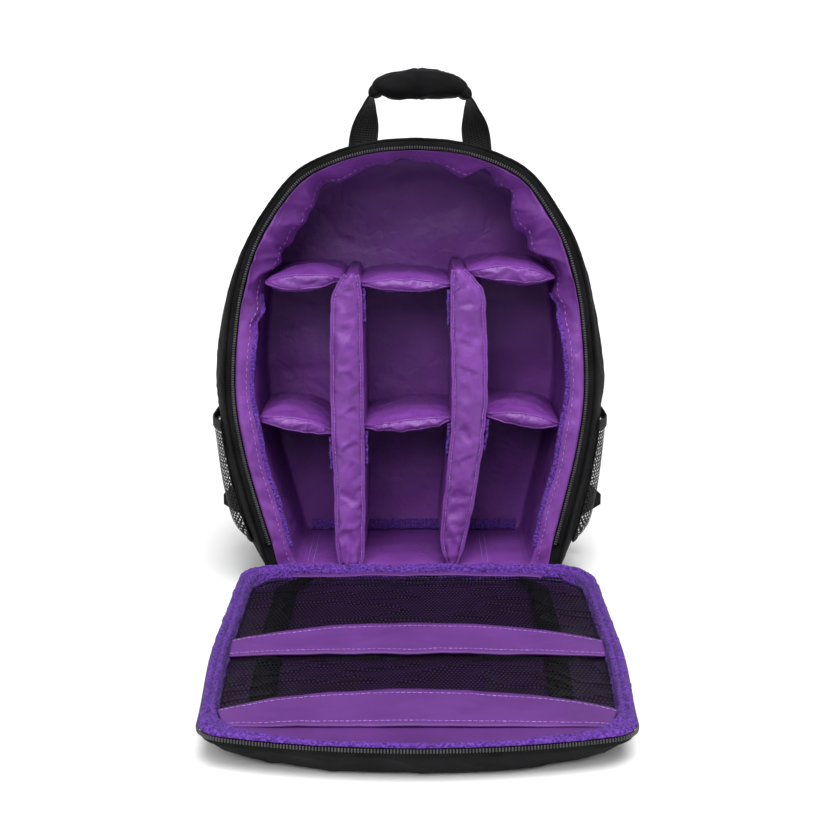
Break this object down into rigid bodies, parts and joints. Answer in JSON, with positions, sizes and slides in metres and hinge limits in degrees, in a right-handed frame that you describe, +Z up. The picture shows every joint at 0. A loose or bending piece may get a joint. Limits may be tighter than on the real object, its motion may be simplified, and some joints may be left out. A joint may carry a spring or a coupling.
{
  "type": "camera backpack",
  "caption": "Small camera backpack standing open, its front panel unzipped and laid flat, with a padded purple lining, movable dividers and mesh pockets.",
  "frame": {"origin": "on the floor, in the middle of the flat bottom of the body", "axes": "+Z up, +Y from the opening through the body to its back, +X to the viewer's right when looking into the opening"},
  "size_m": [0.3, 0.4656, 0.3857],
  "materials": {
    "black_fabric": "matt woven polyester",
    "black_webbing": "ribbed webbing",
    "black_mesh": "knitted net",
    "purple_nylon": "smooth nylon with a soft sheen",
    "purple_loop": "brushed loop pile",
    "zip_black": "nylon coil on woven tape",
    "plastic_black": "moulded plastic"
  },
  "bodies": {
    "root": {"shell": "black_fabric", "lining": "purple_nylon", "body_zip": "zip_black", "divider_left": "purple_nylon", "divider_right": "purple_nylon", "shelf_top_left": "purple_nylon", "shelf_top_middle": "purple_nylon", "shelf_top_right": "purple_nylon", "shelf_low_left": "purple_nylon", "shelf_low_middle": "purple_nylon", "shelf_low_right": "purple_nylon", "tab_top_middle_left": "purple_loop", "tab_top_middle_right": "purple_loop", "tab_low_left": "purple_loop", "tab_low_middle_left": "purple_loop", "tab_low_middle_right": "purple_loop", "tab_low_right": "purple_loop", "panel_shell": "black_fabric", "panel_pad": "purple_nylon", "panel_edge_roll": "purple_loop", "panel_zip": "zip_black", "panel_hinge": "black_fabric", "mesh_far": "black_mesh", "band_middle": "purple_nylon", "mesh_near": "black_mesh", "band_near": "purple_nylon", "side_pocket_left": "black_mesh", "side_pocket_right": "black_mesh", "handle_webbing": "black_webbing", "handle_grip": "black_fabric", "strap_pad_left": "black_fabric", "strap_loop_left": "black_webbing", "strap_buckle_left": "plastic_black", "strap_webbing_left": "black_webbing", "strap_tab_left": "black_webbing", "strap_pad_right": "black_fabric", "strap_loop_right": "black_webbing", "strap_buckle_right": "plastic_black", "strap_webbing_right": "black_webbing", "strap_tab_right": "black_webbing"}
  },
  "joints": []
}
